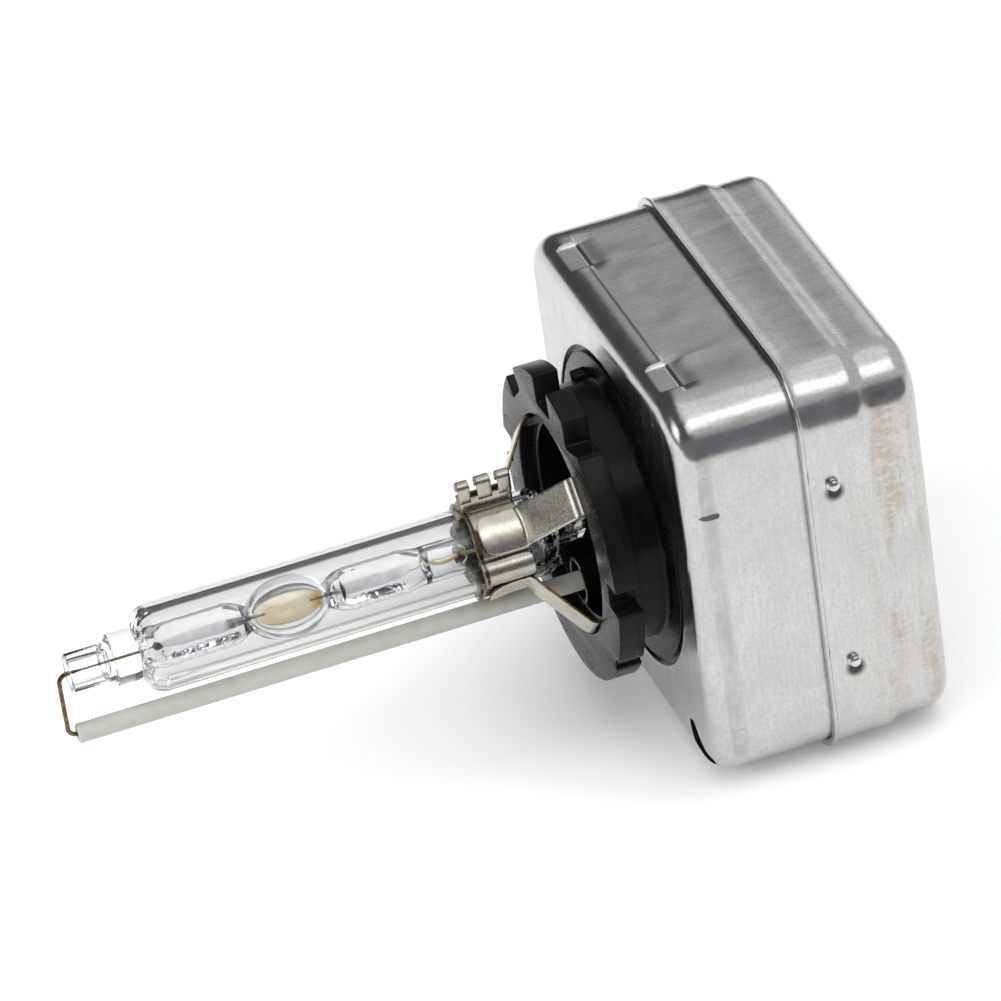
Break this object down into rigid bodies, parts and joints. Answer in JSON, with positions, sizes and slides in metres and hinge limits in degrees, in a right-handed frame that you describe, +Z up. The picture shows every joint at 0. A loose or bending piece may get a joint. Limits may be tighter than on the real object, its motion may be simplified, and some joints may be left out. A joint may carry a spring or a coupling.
{
  "type": "headlight bulb",
  "caption": "Gas-discharge headlight bulb: a quartz burner held by a clamp and straps in a keyed base ring, with its igniter in a square drawn metal case.",
  "frame": {"origin": "on the burner's axis, in the plane of the base ring's front face, which is the lamp's reference plane", "axes": "-Y along the burner towards its tip, +Z up with the ceramic return tube below the burner, +X to the side with no connector"},
  "size_m": [0.0456, 0.0822, 0.044],
  "materials": {
    "quartz_sleeve": "clear quartz, polished",
    "quartz_tube": "clear quartz, drawn and pinched",
    "tungsten": "bare tungsten",
    "foil": "thin molybdenum foil",
    "lead_wire": "heat-tinted wire, bronze to dark brown",
    "ceramic": "unglazed off-white ceramic",
    "nickel_steel": "satin nickel-plated steel with light heat tint",
    "base_plastic": "satin black moulded plastic",
    "contact_brass": "plated brass",
    "case_metal": "drawn aluminium, finely brushed, bright corners",
    "rivet_metal": "bright steel",
    "ferrite": "dark sintered ferrite",
    "bobbin_plastic": "brown moulded plastic",
    "copper_wire": "enamelled copper wire",
    "capacitor_case": "glossy moulded case",
    "resistor_body": "lacquered body",
    "board": "green laminate",
    "resin": "dark potting resin"
  },
  "bodies": {
    "root": {"outer_bulb": "quartz_sleeve", "arc_tube": "quartz_tube", "electrode_front": "tungsten", "electrode_rear": "tungsten", "foil_front": "foil", "foil_rear": "foil", "return_wire": "lead_wire", "supply_lead": "lead_wire", "ceramic_tube": "ceramic", "clamp_band": "nickel_steel", "strap_upper_near": "nickel_steel", "strap_upper_far": "nickel_steel", "strap_lower_far": "nickel_steel", "strap_lower_near": "nickel_steel", "anchor_ring": "nickel_steel", "base_ring": "base_plastic", "igniter_housing": "base_plastic", "high_voltage_contact": "contact_brass", "return_contact": "contact_brass", "front_shell": "case_metal", "rear_cover": "case_metal", "cover_rivets": "rivet_metal", "connector_socket": "base_plastic", "connector_pins": "contact_brass", "transformer_core": "ferrite", "transformer_bobbin": "bobbin_plastic", "secondary_winding": "copper_wire", "primary_winding": "copper_wire", "capacitor": "capacitor_case", "spark_gap": "rivet_metal", "bleed_resistor": "resistor_body", "circuit_board": "board", "sealing_resin": "resin"}
  },
  "joints": []
}
